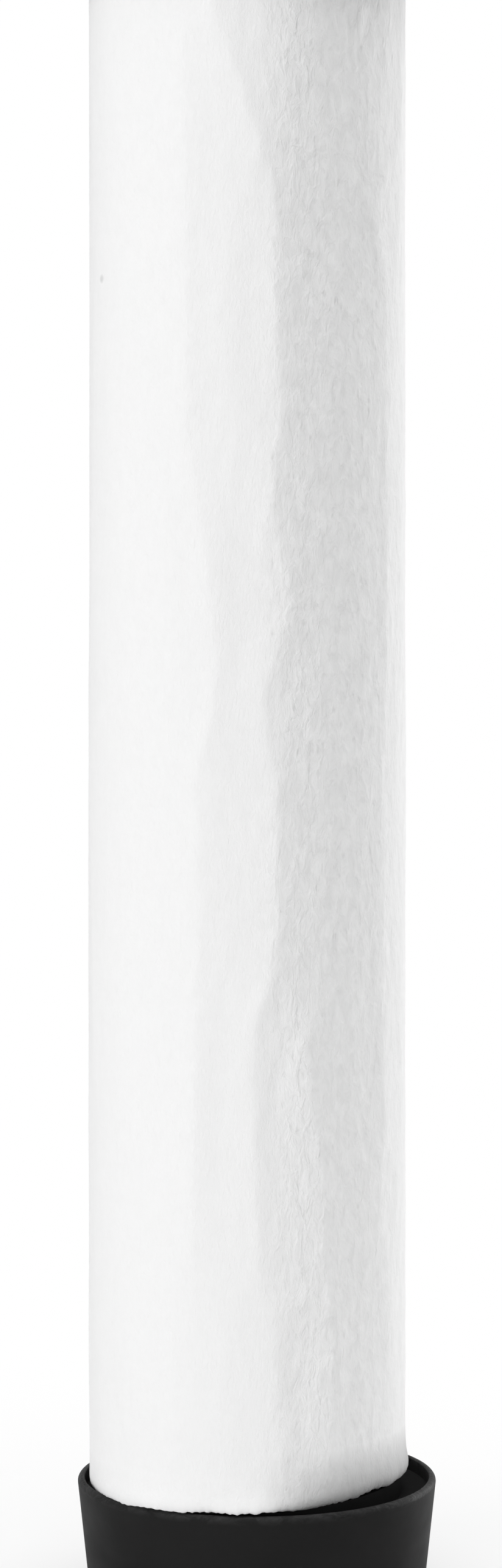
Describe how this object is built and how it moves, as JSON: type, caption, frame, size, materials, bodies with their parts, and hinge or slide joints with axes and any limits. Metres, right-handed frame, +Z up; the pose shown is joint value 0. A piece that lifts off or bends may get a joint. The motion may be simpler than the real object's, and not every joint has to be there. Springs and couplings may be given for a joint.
{
  "type": "air filter element",
  "caption": "Tubular compressed-air filter element: white needle-felt drain sleeve over a pleated pack, potted into black flared end caps, with a sealed inlet neck.",
  "frame": {"origin": "centre of the lower cap's foot, on the axis that both caps share", "axes": "+Z up along the element towards the neck; +X to the right and +Y away from the viewer of the picture; the pack stands 1.85 mm towards -X and -Y of the caps"},
  "size_m": [0.068, 0.068, 0.3437],
  "materials": {
    "felt_white": "soft needle-punched polyester felt, matte",
    "cap_black": "moulded glass-filled nylon, matte",
    "potting_black": "cast two-part adhesive, slightly glossy",
    "core_grey": "moulded polypropylene cage, matte",
    "support_white": "moulded polypropylene cage, matte",
    "medium_white": "pleated glass microfibre, matte",
    "seal_black": "nitrile, satin",
    "fleece_white": "thin spunbonded polyester fleece, matte"
  },
  "bodies": {
    "root": {"lower_end_cap": "cap_black", "lower_potting": "potting_black", "inner_core": "core_grey", "inner_fleece": "fleece_white", "filter_medium": "medium_white", "outer_fleece": "fleece_white", "outer_support": "support_white", "drain_sleeve": "felt_white", "upper_potting": "potting_black", "upper_end_cap": "cap_black", "neck_seal_ring": "seal_black"}
  },
  "joints": []
}
